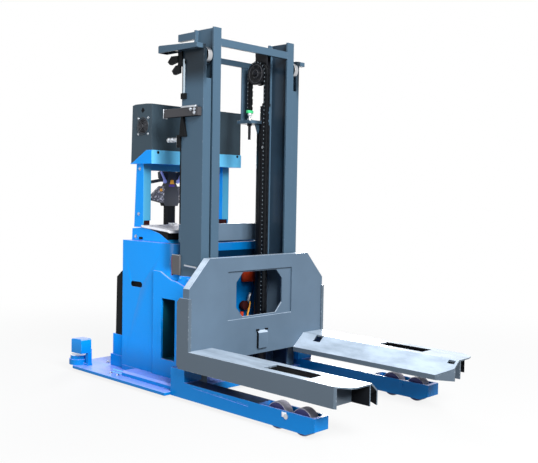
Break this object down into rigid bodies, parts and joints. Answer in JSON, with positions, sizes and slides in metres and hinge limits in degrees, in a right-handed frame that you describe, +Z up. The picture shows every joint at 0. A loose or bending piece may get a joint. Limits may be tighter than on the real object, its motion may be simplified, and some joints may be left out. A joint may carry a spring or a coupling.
{
  "type": "automated pallet stacker",
  "caption": "Tiller-steered automated pallet stacker: two-stage mast, forks over straddle legs with tandem load wheels, rear cabinet on posts and corner scanners.",
  "frame": {"origin": "on the floor under the middle of the outline", "axes": "+X towards the fork tips, +Y to the left, +Z up"},
  "size_m": [2.4, 1.2, 2.171],
  "materials": {
    "azure_paint": "smooth satin powder coat",
    "mast_paint": "satin slate-grey powder coat",
    "carriage_paint": "satin grey powder coat",
    "fork_paint": "satin pale grey powder coat, worn on top",
    "cabinet_paint": "satin dark slate powder coat",
    "black_plastic": "fine-grained moulded plastic",
    "grey_plastic": "fine-grained moulded plastic",
    "pale_plastic": "fine-grained moulded plastic",
    "black_steel": "gloss black paint",
    "bare_steel": "turned steel",
    "rod_chrome": "polished hard chrome",
    "chain_steel": "oiled black steel",
    "cast_grey": "painted cast iron",
    "tread": "cast polyurethane tread",
    "dark_tread": "black rubber tread",
    "foot_rubber": "moulded rubber"
  },
  "bodies": {
    "chassis": {"base_plate": "azure_paint", "chassis_frame": "azure_paint", "body_shell": "azure_paint", "hood": "azure_paint", "hood_lid": "pale_plastic", "hood_fittings": "black_plastic", "rear_cover": "black_plastic", "battery_box": "azure_paint", "leg_right": "azure_paint", "leg_left": "azure_paint", "bogies": "bare_steel", "outer_channel_right": "mast_paint", "outer_channel_left": "mast_paint", "outer_top_frame": "mast_paint", "outer_cross_members": "mast_paint", "mast_foot_beam": "azure_paint", "top_side_beams": "mast_paint", "mast_brackets": "mast_paint", "mast_clamps": "azure_paint", "outer_rollers": "bare_steel", "limit_switches": "black_plastic", "mast_conduit": "black_plastic", "mast_supports": "azure_paint", "lift_barrel": "black_steel", "chain_rear": "chain_steel", "cabinet": "cabinet_paint", "tray": "azure_paint", "posts": "azure_paint", "post_feet": "foot_rubber", "scanners": "azure_paint"},
    "inner_mast": {"inner_channel_right": "mast_paint", "inner_channel_left": "mast_paint", "inner_top_bar": "mast_paint", "inner_cross_members": "mast_paint", "lift_rod": "rod_chrome", "chain_wrap": "chain_steel"},
    "pulley": {"chain_pulley": "black_steel"},
    "carriage": {"carriage_plate": "carriage_paint", "carriage_rim": "carriage_paint", "window_plate": "carriage_paint", "fork_right": "fork_paint", "fork_left": "fork_paint", "carriage_frame": "carriage_paint", "carriage_rollers": "bare_steel", "carriage_flap": "carriage_paint", "chain_front": "chain_steel"},
    "steering": {"drive_fork": "cast_grey", "tiller_base": "cast_grey"},
    "drive_wheel": {"drive_wheel": "dark_tread"},
    "tiller": {"tiller_arm": "black_plastic", "tiller_head": "grey_plastic"},
    "castor_right": {"castor_fork_right": "bare_steel"},
    "castor_left": {"castor_fork_left": "bare_steel"},
    "castor_wheel_right": {"castor_wheel_right": "dark_tread"},
    "castor_wheel_left": {"castor_wheel_left": "dark_tread"},
    "load_wheel_right_a": {"load_wheel_right_a": "tread"},
    "load_wheel_right_b": {"load_wheel_right_b": "tread"},
    "load_wheel_left_a": {"load_wheel_left_a": "tread"},
    "load_wheel_left_b": {"load_wheel_left_b": "tread"}
  },
  "joints": [
    {"name": "mast_lift", "type": "slide", "parent": "chassis", "child": "inner_mast", "axis": [0, 0, 1], "range_m": [-0.088, 1.15], "deforming": ["chain_rear"]},
    {"name": "carriage_lift", "type": "slide", "parent": "inner_mast", "child": "carriage", "axis": [0, 0, 1], "range_m": [-0.088, 1.15], "deforming": ["chain_front"]},
    {"name": "pulley_spin", "type": "hinge", "parent": "inner_mast", "child": "pulley", "pos_m": [-0.091, 0.086, 1.95], "axis": [0, 1, 0], "continuous": true},
    {"name": "steer", "type": "hinge", "parent": "chassis", "child": "steering", "pos_m": [-0.854, 0, 0], "axis": [0, 0, 1], "range_deg": [-60, 60]},
    {"name": "drive_spin", "type": "hinge", "parent": "steering", "child": "drive_wheel", "pos_m": [-0.854, 0, 0.115], "axis": [0, 1, 0], "continuous": true},
    {"name": "tiller_tilt", "type": "hinge", "parent": "steering", "child": "tiller", "pos_m": [-0.854, 0, 0.786], "axis": [0, -1, 0], "range_deg": [0, 75]},
    {"name": "castor_swivel_right", "type": "hinge", "parent": "chassis", "child": "castor_right", "pos_m": [-0.56, -0.3, 0.1], "axis": [0, 0, 1], "continuous": true},
    {"name": "castor_spin_right", "type": "hinge", "parent": "castor_right", "child": "castor_wheel_right", "pos_m": [-0.598, -0.3, 0.0625], "axis": [0, 1, 0], "continuous": true},
    {"name": "load_wheel_spin_right_a", "type": "hinge", "parent": "chassis", "child": "load_wheel_right_a", "pos_m": [0.7, -0.503, 0.07], "axis": [0, 1, 0], "continuous": true},
    {"name": "load_wheel_spin_right_b", "type": "hinge", "parent": "chassis", "child": "load_wheel_right_b", "pos_m": [0.872, -0.503, 0.07], "axis": [0, 1, 0], "continuous": true},
    {"name": "castor_swivel_left", "type": "hinge", "parent": "chassis", "child": "castor_left", "pos_m": [-0.56, 0.3, 0.1], "axis": [0, 0, 1], "continuous": true},
    {"name": "castor_spin_left", "type": "hinge", "parent": "castor_left", "child": "castor_wheel_left", "pos_m": [-0.598, 0.3, 0.0625], "axis": [0, 1, 0], "continuous": true},
    {"name": "load_wheel_spin_left_a", "type": "hinge", "parent": "chassis", "child": "load_wheel_left_a", "pos_m": [0.7, 0.503, 0.07], "axis": [0, 1, 0], "continuous": true},
    {"name": "load_wheel_spin_left_b", "type": "hinge", "parent": "chassis", "child": "load_wheel_left_b", "pos_m": [0.872, 0.503, 0.07], "axis": [0, 1, 0], "continuous": true}
  ],
  "couplings": [
    {"joint": "carriage_lift", "follows": "mast_lift", "ratio": 1}
  ]
}
